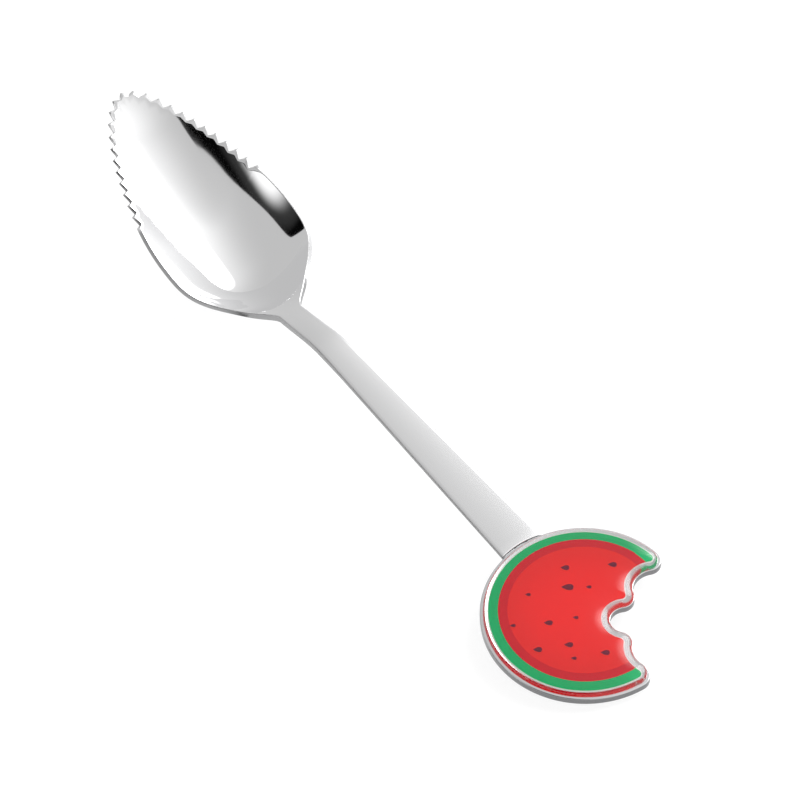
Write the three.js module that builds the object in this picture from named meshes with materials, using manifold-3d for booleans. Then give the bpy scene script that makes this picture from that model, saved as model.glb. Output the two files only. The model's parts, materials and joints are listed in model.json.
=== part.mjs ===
// Fruit scraping spoon: a pressed steel spoon with a toothed tip, and a bitten melon disc on its handle.
// Millimetres. Before it is laid down, x runs from the tip of the bowl to the disc, whose centre is 0,
// z is up from the flat underside of the disc, and the spoon is alike on both sides of y = 0.
import * as THREE from 'three';
import { mergeVertices } from 'three/addons/utils/BufferGeometryUtils.js';
import Module from 'manifold-3d';

const wasm = await Module();
wasm.setup();

// Disc at the end of the handle
const discRadius = 15.85;
const plateThickness = 1.3;
const plateEdgeBreak = 0.15;
const domeEdgeInset = 0.5;
const domeBiteInset = 0.1;
const domeEdgeHeight = 0.1;
const domeShoulderWidth = 1.2;
const domeShoulderHeight = 0.45;
const domeCrownWidth = 5;
const domeCrownHeight = 1;
const hornCorner = 2.05;
const biteCentreShares = [[0.19, 0.714], [0.315, 0.256], [0.747, 0.29]];
const biteRadiusShares = [0.219, 0.149, 0.225];

// Printed label under the dome
const layerGap = 0.02;
const labelThickness = 0.08;
const inkThickness = 0.04;
const labelMargin = 0.12;
const labelBiteInset = 1.5;
const bareMargin = 1.5;
const rindWidth = 1.35;
const bandWidth = 1.4;
const inkLap = 0.03;
const recessClearance = 0.15;

// Seeds: place, length and width
const seedLarge = [1.85, 1.2];
const seedMedium = [1.3, 0.95];
const seedSmall = [0.8, 0.6];
const seedWaistShare = 0.62;
const seedPlaceShares = [
  { at: [-0.496, 0.139], size: seedMedium },
  { at: [-0.258, 0.527], size: seedMedium },
  { at: [-0.299, 0.021], size: seedLarge },
  { at: [-0.179, 0.186], size: seedSmall },
  { at: [-0.452, -0.334], size: seedSmall },
  { at: [0.032, -0.128], size: seedSmall },
  { at: [-0.073, -0.373], size: seedMedium },
  { at: [-0.247, -0.662], size: seedSmall },
  { at: [0.114, -0.636], size: seedMedium },
  { at: [0.243, -0.368], size: seedMedium },
  { at: [0.518, -0.146], size: seedMedium },
  { at: [0.395, -0.421], size: seedSmall },
];
const seedDirection = THREE.MathUtils.degToRad(53.6);

// Handle, and the thin tab that carries the disc
const handleThicknessAtDisc = 0.9;
const handleThicknessAtNeck = 1.25;
const handleWidthAtDisc = 7.55;
const handleWidthAtNeck = 4.2;
const handleFallAngle = THREE.MathUtils.degToRad(2.3);
const tabThickness = 0.5;
const tabRecessed = 0.05;
const tabEndFromCentre = 4.85;
const tabCorner = 1.6;
const tabClearance = 0.3;
const shoulderGap = 0.45;
const bondThickness = 0.1;
const bondMargin = 0.6;

// Neck
const neckThickness = 1.55;
const neckAngle = THREE.MathUtils.degToRad(16.6);
const neckBendRound = 1.2;
const neckLength = 13;
const throatSetBack = 1.4;
const throatRound = 1.5;

// Bowl
const overallLength = 149;
const bowlLength = 50;
const bowlWidth = 26.3;
const bowlDepth = 7.2;
const bowlThickness = 0.95;
const bellyFlatWidth = 4.4;
const bowlRiseAngle = THREE.MathUtils.degToRad(13.95);
const tipLift = 0.7;
const tipLiftLength = 9;
const bowlPlanShares = [-0.2, 0, 0.2, 0.395, 0.588, 0.755, 0.905, 1, 1.005, 0.93, 0.4, -0.06, 0.005, 0];

// Teeth round the front of the bowl
const toothPitch = 2.35;
const toothDepth = 0.85;
const teethPerSide = 12;

// Fineness of the mesh
const acrossHalf = 7;
const rimStep = 2.6;
const handleStep = 8;
const outerArcSteps = 44;
const biteArcSteps = 8;
const cornerArcSteps = 4;
const domeSteps = 7;
const circleSteps = 64;
const handleBlendSteps = 8;
const trackSteps = 600;
const ribFanShare = 0.55;
const leastInwardShare = 0.2;
const weld = 0.002;
const overrun = 1;

const tipX = discRadius - overallLength;
const shoulderX = -(discRadius + shoulderGap);
const tabEndX = -tabEndFromCentre;
const tabReach = discRadius - tabEndFromCentre;
const rindOuterRadius = discRadius - bareMargin;
const rindInnerRadius = rindOuterRadius - rindWidth;
const fleshRadius = rindInnerRadius - bandWidth;
const tabTop = tabRecessed + tabThickness;
const handleTop = tabRecessed + handleThicknessAtDisc;
const neckBendX = tipX + bowlLength + neckLength;
const throatX = tipX + bowlLength - throatSetBack;
const splinePoints = 4;
const bowlPlanSteps = bowlPlanShares.length - splinePoints;
const bowlPlanStep = bowlLength / bowlPlanSteps;
const bowlCurve = bowlDepth / (bowlWidth / 2) ** 2;

const spoonSteel = () => new THREE.MeshStandardMaterial({ color: 0xd4d6d8, roughness: 0.18, metalness: 1 });
const castMetal = () => new THREE.MeshStandardMaterial({ color: 0xb9bcbf, roughness: 0.35, metalness: 1 });
const bondMetal = () => new THREE.MeshStandardMaterial({ color: 0x8d8f90, roughness: 0.5, metalness: 0.6 });
const labelWhite = () => new THREE.MeshStandardMaterial({ color: 0xeef0ee, roughness: 0.5, metalness: 0 });
const rindGreen = () => new THREE.MeshStandardMaterial({ color: 0x0aaf69, roughness: 0.4, metalness: 0 });
const bandRed = () => new THREE.MeshStandardMaterial({ color: 0xcd2030, roughness: 0.4, metalness: 0 });
const fleshRed = () => new THREE.MeshStandardMaterial({ color: 0xf33a3a, roughness: 0.4, metalness: 0 });
const seedDark = () => new THREE.MeshStandardMaterial({ color: 0x5a1522, roughness: 0.4, metalness: 0 });
const clearResin = () => new THREE.MeshStandardMaterial({
  color: 0xffffff, roughness: 0.05, metalness: 0, transparent: true, opacity: 0.35,
});

// A closed geometry from loose quads and triangles of points
function closedGeometry(triangles) {
  const geometry = new THREE.BufferGeometry();
  geometry.setAttribute('position', new THREE.Float32BufferAttribute(triangles.flat(2), 3));
  return mergeVertices(geometry, weld);
}

function quad(a, b, c, d) {
  return [[a, b, c], [a, c, d]];
}

function solidFrom(geometry) {
  const mesh = new wasm.Mesh({
    numProp: 3,
    vertProperties: Float32Array.from(geometry.attributes.position.array),
    triVerts: Uint32Array.from(geometry.index.array),
  });
  return new wasm.Manifold(mesh);
}

function geometryFrom(solid) {
  const mesh = solid.getMesh();
  const geometry = new THREE.BufferGeometry();
  geometry.setAttribute('position', new THREE.BufferAttribute(mesh.vertProperties, 3));
  geometry.setIndex(new THREE.BufferAttribute(mesh.triVerts, 1));
  geometry.computeVertexNormals();
  return geometry;
}

function named(name, geometry, material) {
  const mesh = new THREE.Mesh(geometry, material);
  mesh.name = name;
  return mesh;
}

// Rings of equal point counts, joined upwards and capped at both ends
function stackedSolid(rings) {
  const at = (ring, i) => [...ring.points[i % ring.points.length], ring.z];
  const faces = [];
  for (let r = 0; r + 1 < rings.length; r += 1) {
    for (let i = 0; i < rings[r].points.length; i += 1) {
      faces.push(...quad(at(rings[r], i), at(rings[r], i + 1), at(rings[r + 1], i + 1), at(rings[r + 1], i)));
    }
  }
  const flat = (ring) => ring.points.map((p) => new THREE.Vector2(...p));
  const cap = (ring) => THREE.ShapeUtils.triangulateShape(flat(ring), []);
  const low = rings[0];
  const high = rings[rings.length - 1];
  cap(low).forEach(([a, b, c]) => faces.push([at(low, a), at(low, c), at(low, b)]));
  cap(high).forEach(([a, b, c]) => faces.push([at(high, a), at(high, b), at(high, c)]));
  return closedGeometry(faces);
}

// Where two circles cross, on the left (1) or the right (-1) of the line from a to b
function circlesCross(a, radiusA, b, radiusB, side) {
  const apart = Math.hypot(b[0] - a[0], b[1] - a[1]);
  const along = (radiusA ** 2 - radiusB ** 2 + apart ** 2) / (2 * apart);
  const aside = side * Math.sqrt(Math.max(radiusA ** 2 - along ** 2, 0));
  const unit = [(b[0] - a[0]) / apart, (b[1] - a[1]) / apart];
  return [a[0] + unit[0] * along - unit[1] * aside, a[1] + unit[1] * along + unit[0] * aside];
}

function bearing(from, to) {
  return Math.atan2(to[1] - from[1], to[0] - from[0]);
}

// Points of an arc without its last one; turn is 1 for anticlockwise and -1 for clockwise
function arcPoints(centre, radius, start, end, turn, steps) {
  const circle = 2 * Math.PI;
  const sweep = (((end - start) * turn) % circle + circle) % circle;
  return Array.from({ length: steps }, (_, i) => {
    const angle = start + (turn * sweep * i) / steps;
    return [centre[0] + radius * Math.cos(angle), centre[1] + radius * Math.sin(angle)];
  });
}

// The disc with three scoops bitten out of its side and its corners rounded, drawn in by an inset
function bittenOutline(radius, inset, biteInset = inset) {
  const centre = [0, 0];
  const bites = biteCentreShares.map((share, i) => ({
    centre: [share[0] * discRadius, share[1] * discRadius],
    radius: biteRadiusShares[i] * discRadius + biteInset,
  }));
  const corner = Math.max(hornCorner - biteInset, plateEdgeBreak / 2);
  const rim = radius - inset;
  const [upper, middle, lower] = bites;
  const reach = (bite) => bite.radius + corner;
  const upperHorn = circlesCross(centre, rim - corner, upper.centre, reach(upper), 1);
  const upperLobe = circlesCross(upper.centre, reach(upper), middle.centre, reach(middle), -1);
  const lowerLobe = circlesCross(middle.centre, reach(middle), lower.centre, reach(lower), -1);
  const lowerHorn = circlesCross(centre, rim - corner, lower.centre, reach(lower), -1);
  const round = (at, from, to) => arcPoints(at, corner, from, to, 1, cornerArcSteps);
  const scoop = (bite, from, to) => arcPoints(
    bite.centre, bite.radius, bearing(bite.centre, from), bearing(bite.centre, to), -1, biteArcSteps,
  );
  return [
    ...arcPoints(centre, rim, bearing(centre, upperHorn), bearing(centre, lowerHorn), 1, outerArcSteps),
    ...round(lowerHorn, bearing(centre, lowerHorn), bearing(lowerHorn, lower.centre)),
    ...scoop(lower, lowerHorn, lowerLobe),
    ...round(lowerLobe, bearing(lower.centre, lowerLobe) + Math.PI, bearing(lowerLobe, middle.centre)),
    ...scoop(middle, lowerLobe, upperLobe),
    ...round(upperLobe, bearing(middle.centre, upperLobe) + Math.PI, bearing(upperLobe, upper.centre)),
    ...scoop(upper, upperLobe, upperHorn),
    ...round(upperHorn, bearing(upper.centre, upperHorn) + Math.PI, bearing(centre, upperHorn)),
  ];
}

function bittenSlab(radius, inset, biteInset, low, high) {
  const points = bittenOutline(radius, inset, biteInset);
  return stackedSolid([{ points, z: low }, { points, z: high }]);
}

function cylinderSolid(radius, low, high) {
  const geometry = new THREE.CylinderGeometry(radius, radius, high - low, circleSteps);
  geometry.rotateX(Math.PI / 2);
  geometry.translate(0, 0, (low + high) / 2);
  geometry.deleteAttribute('normal');
  geometry.deleteAttribute('uv');
  return solidFrom(mergeVertices(geometry, weld));
}

// Rises from 0 to 1 between two places, smoothly
function rise(x, from, to) {
  return THREE.MathUtils.smootherstep(x, from, to);
}

// A line that is 0 before the bend and climbs at a slope of 1 after it
function roundedRamp(distance, round) {
  return round * Math.log1p(Math.exp(distance / round));
}

// Smooth curve through evenly spaced shares
function smoothShare(shares, place) {
  const i = THREE.MathUtils.clamp(Math.floor(place), 0, shares.length - splinePoints);
  const t = place - i;
  const weights = [
    (1 - t) ** 3,
    3 * t ** 3 - 6 * t ** 2 + 4,
    -3 * t ** 3 + 3 * t ** 2 + 3 * t + 1,
    t ** 3,
  ];
  return weights.reduce((sum, weight, k) => sum + (weight * shares[i + k]) / 6, 0);
}

// Height of the rim and of the handle's upper face, along the spoon
function lineHeight(x) {
  const fall = Math.tan(handleFallAngle) * roundedRamp(shoulderX - x, neckBendRound);
  const neck = Math.tan(neckAngle) * roundedRamp(neckBendX - x, neckBendRound);
  const lift = Math.tan(neckAngle) + Math.tan(bowlRiseAngle);
  const tip = tipLift * (1 - rise(x, tipX, tipX + tipLiftLength));
  return handleTop - fall - neck + lift * roundedRamp(throatX - x, throatRound) + tip;
}

function handleHalfWidth(x) {
  const share = THREE.MathUtils.clamp((x - throatX) / (shoulderX - throatX), 0, 1);
  const taper = THREE.MathUtils.lerp(handleWidthAtNeck, handleWidthAtDisc, share) / 2;
  const past = Math.max(x - (tabEndX - tabCorner), 0);
  return taper - tabCorner + Math.sqrt(Math.max(tabCorner ** 2 - past ** 2, 0));
}

// Half the width of the blank, without the teeth
function halfWidth(x) {
  const bowl = Math.max(smoothShare(bowlPlanShares, (x - tipX) / bowlPlanStep), 0) * (bowlWidth / 2) ** 2;
  const handle = handleHalfWidth(x) ** 2 * rise(x, throatX - bowlPlanStep, throatX + bowlPlanStep / 2);
  return Math.sqrt(bowl + handle);
}

function upperHeight(x, y) {
  const dished = 1 - rise(x, throatX - bowlPlanStep, throatX + bowlPlanStep);
  return lineHeight(x) - bowlCurve * dished * (halfWidth(x) ** 2 - y ** 2);
}

// The belly is pressed a little flat underneath, so that the spoon lies still
function lowerHeight(x, y) {
  const flat = Math.min(bellyFlatWidth / 2, halfWidth(x));
  return upperHeight(x, Math.max(Math.abs(y), flat)) - sheetThickness(x);
}

function sheetThickness(x) {
  const neck = rise(x, throatX - 2 * bowlPlanStep, throatX);
  const handle = rise(x, neckBendX, neckBendX + 2 * bowlPlanStep);
  const upToNeck = THREE.MathUtils.lerp(bowlThickness, neckThickness, neck);
  const share = THREE.MathUtils.clamp((x - neckBendX) / (shoulderX - neckBendX), 0, 1);
  const alongHandle = THREE.MathUtils.lerp(handleThicknessAtNeck, handleThicknessAtDisc, share);
  return THREE.MathUtils.lerp(upToNeck, alongHandle, handle);
}

// The blank's edge from the tip back to the throat, in equal steps of its own length
function rimTrack() {
  const track = [];
  let length = 0;
  for (let i = 0; i <= trackSteps; i += 1) {
    const x = tipX + bowlLength * (i / trackSteps) ** 2;
    const y = i === 0 ? 0 : halfWidth(x);
    const before = track[track.length - 1];
    length += before ? Math.hypot(x - before.x, y - before.y) : 0;
    track.push({ x, y, length });
  }
  return track;
}

function rimPointAt(track, length) {
  const next = Math.max(track.findIndex((point) => point.length > length), 1);
  const a = track[next - 1];
  const b = track[next];
  const share = (length - a.length) / (b.length - a.length);
  const run = b.length - a.length;
  const along = [(b.x - a.x) / run, (b.y - a.y) / run];
  return {
    x: a.x + (b.x - a.x) * share,
    y: a.y + (b.y - a.y) * share,
    inward: [along[1], -along[0]],
  };
}

// Ribs of the blank: each runs from the middle line out to a point of the edge
function ribs() {
  const track = rimTrack();
  const whole = track[track.length - 1].length;
  const list = [];
  const addRib = (length, drawnIn) => {
    const rim = rimPointAt(track, length);
    const fan = THREE.MathUtils.lerp(1, ribFanShare, rise(rim.x, tipX + bowlLength / 2, throatX));
    const reach = rim.y / Math.max(-rim.inward[1], leastInwardShare);
    list.push({
      x: rim.x + rim.inward[0] * drawnIn,
      y: Math.max(rim.y + rim.inward[1] * drawnIn, 0),
      spine: rim.x + rim.inward[0] * reach * fan,
    });
  };
  const tipRound = halfWidth(tipX + toothDepth) ** 2 / (2 * toothDepth);
  list.push({ x: tipX, y: 0, spine: tipX + tipRound });
  for (let k = 1; k <= 2 * teethPerSide; k += 1) {
    addRib((k * toothPitch) / 2, k % 2 === 1 ? toothDepth : 0);
  }
  const toothed = teethPerSide * toothPitch;
  const plainSteps = Math.round((whole - toothed) / rimStep);
  for (let k = 1; k <= plainSteps; k += 1) {
    addRib(toothed + ((whole - toothed) * k) / (plainSteps + 1), 0);
  }
  const straight = (x) => list.push({ x, y: halfWidth(x), spine: x });
  const neckStart = tipX + bowlLength;
  for (let k = 0; k < handleBlendSteps; k += 1) {
    straight(neckStart + ((neckBendX + bowlPlanStep - neckStart) * k) / handleBlendSteps);
  }
  const handleStart = neckBendX + bowlPlanStep;
  const handleSteps = Math.round((shoulderX - handleStart) / handleStep);
  for (let k = 0; k < handleSteps; k += 1) {
    straight(handleStart + ((shoulderX - handleStart) * k) / handleSteps);
  }
  straight(shoulderX);
  const cornerStart = tabEndX - tabCorner;
  for (let k = 0; k <= cornerArcSteps; k += 1) {
    straight(cornerStart + tabCorner * Math.sin((k / cornerArcSteps) * (Math.PI / 2)));
  }
  return list;
}

function blankGeometry() {
  const list = ribs();
  const point = (rib, j, under) => {
    const share = Math.abs(j) / acrossHalf;
    const x = rib.spine + (rib.x - rib.spine) * share;
    const y = rib.y * share * Math.sign(j);
    return [x, y, under ? lowerHeight(x, y) : upperHeight(x, y)];
  };
  const top = (i, j) => point(list[i], j, false);
  const low = (i, j) => point(list[i], j, true);
  const faces = [];
  const last = list.length - 1;
  for (let i = 0; i < last; i += 1) {
    for (let j = -acrossHalf; j < acrossHalf; j += 1) {
      faces.push(...quad(top(i, j), top(i + 1, j), top(i + 1, j + 1), top(i, j + 1)));
      faces.push(...quad(low(i, j), low(i, j + 1), low(i + 1, j + 1), low(i + 1, j)));
    }
    const left = acrossHalf;
    const right = -acrossHalf;
    faces.push(...quad(top(i, left), top(i + 1, left), low(i + 1, left), low(i, left)));
    faces.push(...quad(low(i, right), low(i + 1, right), top(i + 1, right), top(i, right)));
  }
  for (let j = -acrossHalf; j < acrossHalf; j += 1) {
    faces.push(...quad(top(last, j), low(last, j), low(last, j + 1), top(last, j + 1)));
  }
  return closedGeometry(faces);
}

// The spoon is one blank; its end is coined thin, with a curved shoulder that follows the disc
function spoonGeometry() {
  const coined = cylinderSolid(discRadius + shoulderGap, tabTop, tabTop + handleThicknessAtDisc + overrun);
  return geometryFrom(solidFrom(blankGeometry()).subtract(coined));
}

function tabPocket(clearance, low, high) {
  const half = handleWidthAtDisc / 2 + clearance;
  const start = -(discRadius + overrun);
  const end = tabEndX + clearance;
  const geometry = new THREE.BoxGeometry(end - start, 2 * half, high - low);
  geometry.translate((start + end) / 2, 0, (low + high) / 2);
  geometry.deleteAttribute('normal');
  geometry.deleteAttribute('uv');
  return solidFrom(mergeVertices(geometry, weld));
}

const pocketTop = tabTop + bondThickness + 2 * layerGap;

function plateGeometry() {
  const lowered = bittenOutline(discRadius, plateEdgeBreak);
  const full = bittenOutline(discRadius, 0);
  const plate = stackedSolid([
    { points: lowered, z: 0 },
    { points: full, z: plateEdgeBreak },
    { points: full, z: plateThickness - plateEdgeBreak },
    { points: lowered, z: plateThickness },
  ]);
  return geometryFrom(solidFrom(plate).subtract(tabPocket(tabClearance, -overrun, pocketTop)));
}

function bondGeometry() {
  const length = tabReach - 2 * bondMargin;
  const width = handleWidthAtDisc - 2 * bondMargin;
  const geometry = new THREE.BoxGeometry(length, width, bondThickness);
  geometry.translate(tabEndX - bondMargin - length / 2, 0, tabTop + layerGap + bondThickness / 2);
  return geometry;
}

const labelLow = plateThickness + layerGap;
const labelHigh = labelLow + labelThickness;
const inkLow = labelHigh + layerGap;
const inkHigh = inkLow + inkThickness;
const seedLow = inkHigh + layerGap;
const seedHigh = seedLow + inkThickness;
const labelRadius = rindOuterRadius + labelMargin;
const recessHigh = seedHigh + layerGap;

function labelGeometry() {
  return bittenSlab(labelRadius, 0, labelBiteInset - labelMargin, labelLow, labelHigh);
}

function inkRing(outer, inner) {
  const ring = solidFrom(bittenSlab(outer, 0, labelBiteInset, inkLow, inkHigh));
  return geometryFrom(ring.subtract(cylinderSolid(inner, inkLow - overrun, inkHigh + overrun)));
}

function fleshGeometry() {
  return bittenSlab(fleshRadius - inkLap, 0, labelBiteInset, inkLow, inkHigh);
}

// A pip, round at one end and drawn to a point at the other
function seedGeometry(length, width) {
  const half = length / 2;
  const waist = width * seedWaistShare;
  const shape = new THREE.Shape();
  shape.moveTo(half, 0);
  shape.bezierCurveTo(half, waist, 0, waist, -half, 0);
  shape.bezierCurveTo(0, -waist, half, -waist, half, 0);
  return new THREE.ExtrudeGeometry(shape, { depth: inkThickness, bevelEnabled: false, curveSegments: 7 });
}

// Climbs upright from 0 and is level from 1 on, as a quarter circle does
function quarterRound(share) {
  return Math.sqrt(1 - (1 - Math.min(share, 1)) ** 2);
}

// The resin climbs steeply from its edge and carries on into a gentle crown
function domeGeometry() {
  const low = plateThickness + layerGap;
  const rings = [{ points: bittenOutline(discRadius, domeEdgeInset, domeBiteInset), z: low }];
  for (let k = 0; k <= domeSteps; k += 1) {
    const inset = domeCrownWidth * (1 - Math.cos((k / domeSteps) * (Math.PI / 2)));
    const shoulder = domeShoulderHeight * quarterRound(inset / domeShoulderWidth);
    const crown = domeCrownHeight * quarterRound(inset / domeCrownWidth);
    const points = bittenOutline(discRadius, domeEdgeInset + inset, domeBiteInset + inset);
    rings.push({ points, z: low + domeEdgeHeight + shoulder + crown });
  }
  const recessBite = labelBiteInset - labelMargin - recessClearance;
  const recess = bittenSlab(labelRadius + recessClearance, 0, recessBite, low - overrun, recessHigh);
  return geometryFrom(solidFrom(stackedSolid(rings)).subtract(solidFrom(recess)));
}

const steepestTilt = THREE.MathUtils.degToRad(30);

// Angle that lays the spoon down on its belly and on the far edge of the disc
function restingTilt(spoon, plate) {
  const lowest = (geometry, tilt) => {
    const position = geometry.attributes.position;
    let low = Infinity;
    for (let i = 0; i < position.count; i += 1) {
      low = Math.min(low, position.getZ(i) * Math.cos(tilt) - position.getX(i) * Math.sin(tilt));
    }
    return low;
  };
  let flat = 0;
  let steep = steepestTilt;
  const halvings = 40;
  for (let i = 0; i < halvings; i += 1) {
    const tilt = (flat + steep) / 2;
    if (lowest(spoon, tilt) < lowest(plate, tilt)) {
      flat = tilt;
    } else {
      steep = tilt;
    }
  }
  return flat;
}

const laid = new THREE.Group();
const spoon = spoonGeometry();
const plate = plateGeometry();
laid.add(named('spoon', spoon, spoonSteel()));
laid.add(named('disc_plate', plate, castMetal()));
laid.add(named('tab_bond', bondGeometry(), bondMetal()));
laid.add(named('label_film', labelGeometry(), labelWhite()));
laid.add(named('rind_green', inkRing(rindOuterRadius, rindInnerRadius + inkLap), rindGreen()));
laid.add(named('rind_band_red', inkRing(rindInnerRadius, fleshRadius), bandRed()));
laid.add(named('flesh_red', fleshGeometry(), fleshRed()));
seedPlaceShares.forEach((share, i) => {
  const [length, width] = share.size;
  const seed = named(`seed_${String(i + 1).padStart(2, '0')}`, seedGeometry(length, width), seedDark());
  seed.position.set(share.at[0] * discRadius, share.at[1] * discRadius, seedLow);
  seed.rotation.z = seedDirection;
  laid.add(seed);
});
laid.add(named('resin_dome', domeGeometry(), clearResin()));
laid.rotation.y = restingTilt(spoon, plate);

const group = new THREE.Group();
group.add(laid);
group.updateMatrixWorld(true);
const box = new THREE.Box3().setFromObject(group, true);
const middle = box.getCenter(new THREE.Vector3());
group.position.set(-middle.x, -middle.y, -box.min.z);

export default group;
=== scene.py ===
# %% [markdown]
# # A fruit scraping spoon
# A pressed steel spoon with saw teeth round its tip and a melon slice under clear resin on its handle.
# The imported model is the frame: it gives the places, and this script makes the fine surfaces and finishes.
# Blender works in metres here, and the spoon's own sizes are written in millimetres, as a maker would.

# %% Load the frame
import json
import math

import bmesh
import bpy
import numpy as np
from mathutils import Matrix, Vector
from mathutils.geometry import delaunay_2d_cdt


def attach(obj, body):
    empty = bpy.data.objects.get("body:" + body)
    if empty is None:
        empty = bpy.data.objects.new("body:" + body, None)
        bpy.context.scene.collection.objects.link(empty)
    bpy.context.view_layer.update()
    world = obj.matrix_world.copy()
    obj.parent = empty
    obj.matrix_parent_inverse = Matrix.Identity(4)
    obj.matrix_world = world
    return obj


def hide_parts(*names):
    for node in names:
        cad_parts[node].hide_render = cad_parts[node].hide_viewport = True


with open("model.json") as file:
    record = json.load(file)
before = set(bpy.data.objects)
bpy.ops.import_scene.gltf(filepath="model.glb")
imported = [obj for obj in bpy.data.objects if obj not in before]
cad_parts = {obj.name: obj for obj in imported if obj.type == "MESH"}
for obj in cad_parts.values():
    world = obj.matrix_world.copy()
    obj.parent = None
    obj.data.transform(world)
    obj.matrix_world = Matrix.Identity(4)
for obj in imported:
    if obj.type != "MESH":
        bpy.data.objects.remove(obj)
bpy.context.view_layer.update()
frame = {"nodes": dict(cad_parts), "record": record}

# %% [markdown]
# ## Where the spoon lies
# The spoon is easiest to describe level, with the flat back of its disc on z = 0 and the disc's centre at
# x = 0. On a table it rests on its belly and on the edge of the disc, so it leans a little. Points could be
# written leaning from the start, but level sizes are ones that a ruler would find. The frame's one mount
# lies on the disc's back, and its place and direction give the lean.

# %% Lay a point down
MM = 0.001
mount = frame["record"]["mounts"][0]
MOUNT_PLACE = np.array([3.0, -6.0, 0.0])
tilt = math.atan2(-mount["axis"][0], -mount["axis"][2])
lean = np.array(Matrix.Rotation(tilt, 3, "Y"))
shift = np.array(mount["pos_m"]) / MM - lean @ MOUNT_PLACE


def laid(points):
    """Level millimetres to metres on the table."""
    return (np.asarray(points, dtype=float) @ lean.T + shift) * MM


print("leans by", round(math.degrees(tilt), 3), "degrees")

# %% [markdown]
# ## Making a piece
# A piece could start as one of Blender's cylinders with modifiers on it. Here every piece is a mesh made
# from worked-out points and faces, so that each curve hangs on a named size. Where two faces meet at a sharp
# angle the shading breaks, and elsewhere it flows, which keeps a polished bowl free of facets.

# %% Mesh helpers
SHARP_ANGLE = math.radians(40)
WELD = 0.0000005


def piece(name, points, faces, material, stands_for=(), paint=None):
    """A named piece on the root body, with values painted on its points."""
    mesh = bpy.data.meshes.new(name)
    mesh.from_pydata(laid(points).tolist(), [], faces)
    for key, values in (paint or {}).items():
        mesh.attributes.new(key, "FLOAT", "POINT").data.foreach_set("value", np.asarray(values, np.float32))
    made = bpy.data.objects.new(name, mesh)
    bpy.context.collection.objects.link(made)
    mesh.materials.append(material)
    finish_mesh(made)
    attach(made, "root")
    if stands_for:
        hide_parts(*stands_for)
    return made


def finish_mesh(made):
    """Joins doubled points, turns the faces outwards and sets the shading."""
    bm = bmesh.new()
    bm.from_mesh(made.data)
    bmesh.ops.remove_doubles(bm, verts=bm.verts, dist=WELD)
    bmesh.ops.dissolve_degenerate(bm, edges=bm.edges, dist=WELD)
    bmesh.ops.delete(bm, geom=[v for v in bm.verts if not v.link_faces], context="VERTS")
    bmesh.ops.recalc_face_normals(bm, faces=bm.faces)
    bm.to_mesh(made.data)
    bm.free()
    made.data.shade_smooth()
    made.data.set_sharp_from_angle(angle=SHARP_ANGLE)


def loops_to_faces(count, size, closed=True):
    """Quads between neighbouring loops of points."""
    reach = size if closed else size - 1
    return [
        (r * size + i, r * size + (i + 1) % size, (r + 1) * size + (i + 1) % size, (r + 1) * size + i)
        for r in range(count - 1) for i in range(reach)
    ]


# %% [markdown]
# ## Writing a material
# A node tree reads well as sums, so a small class wraps a socket: an expression on two values adds the
# Math nodes. One method adds any other node. Numbers that are the same all over go on the shader itself.

# %% A socket that can be used in sums
class Value:
    def __init__(self, tree, socket):
        self.tree = tree
        self.socket = socket

    def maths(self, operation, *values):
        kind = "ShaderNodeVectorMath" if self.socket.type == "VECTOR" else "ShaderNodeMath"
        return self.tree.node(kind, dict(enumerate(values)), operation=operation)

    def __add__(self, other):
        return self.maths("ADD", self, other)

    def __sub__(self, other):
        return self.maths("SUBTRACT", self, other)

    def __rsub__(self, other):
        return self.maths("SUBTRACT", other, self)

    def __mul__(self, other):
        return self.maths("MULTIPLY", self, other)

    __radd__ = __add__
    __rmul__ = __mul__

    def at_least(self, least):
        return self.maths("MAXIMUM", self, least)

    def at_most(self, most):
        return self.maths("MINIMUM", self, most)

    def step(self, low, high):
        """Rises smoothly from 0 to 1 between two values, or falls where low is above high."""
        ends = (low, high, 0.0, 1.0) if low < high else (high, low, 1.0, 0.0)
        names = ("From Min", "From Max", "To Min", "To Max")
        inputs = {"Value": self, **dict(zip(names, ends))}
        return self.tree.node("ShaderNodeMapRange", inputs, interpolation_type="SMOOTHSTEP")


# %% A node tree
class Tree:
    """The nodes of a material or of the world."""

    def __init__(self, owner):
        owner.use_nodes = True
        self.nodes = owner.node_tree.nodes
        self.links = owner.node_tree.links

    def feed(self, socket, value):
        if isinstance(value, Value):
            self.links.new(value.socket, socket)
        else:
            socket.default_value = value

    def node(self, kind, inputs=None, output=0, **settings):
        """Any node: its settings first, then the numbers or links of its sockets."""
        made = self.nodes.new(kind)
        for key, value in settings.items():
            setattr(made, key, value)
        for key, value in (inputs or {}).items():
            self.feed(made.inputs[key], value)
        return Value(self, made.outputs[output])

    def blend(self, mask, low, high):
        return self.node("ShaderNodeMix", {"Factor": mask, "A": low, "B": high}, data_type="FLOAT")

    def tint(self, mask, low, high):
        return self.node("ShaderNodeMix", {0: mask, 6: low, 7: high}, output=2, data_type="RGBA")


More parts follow.
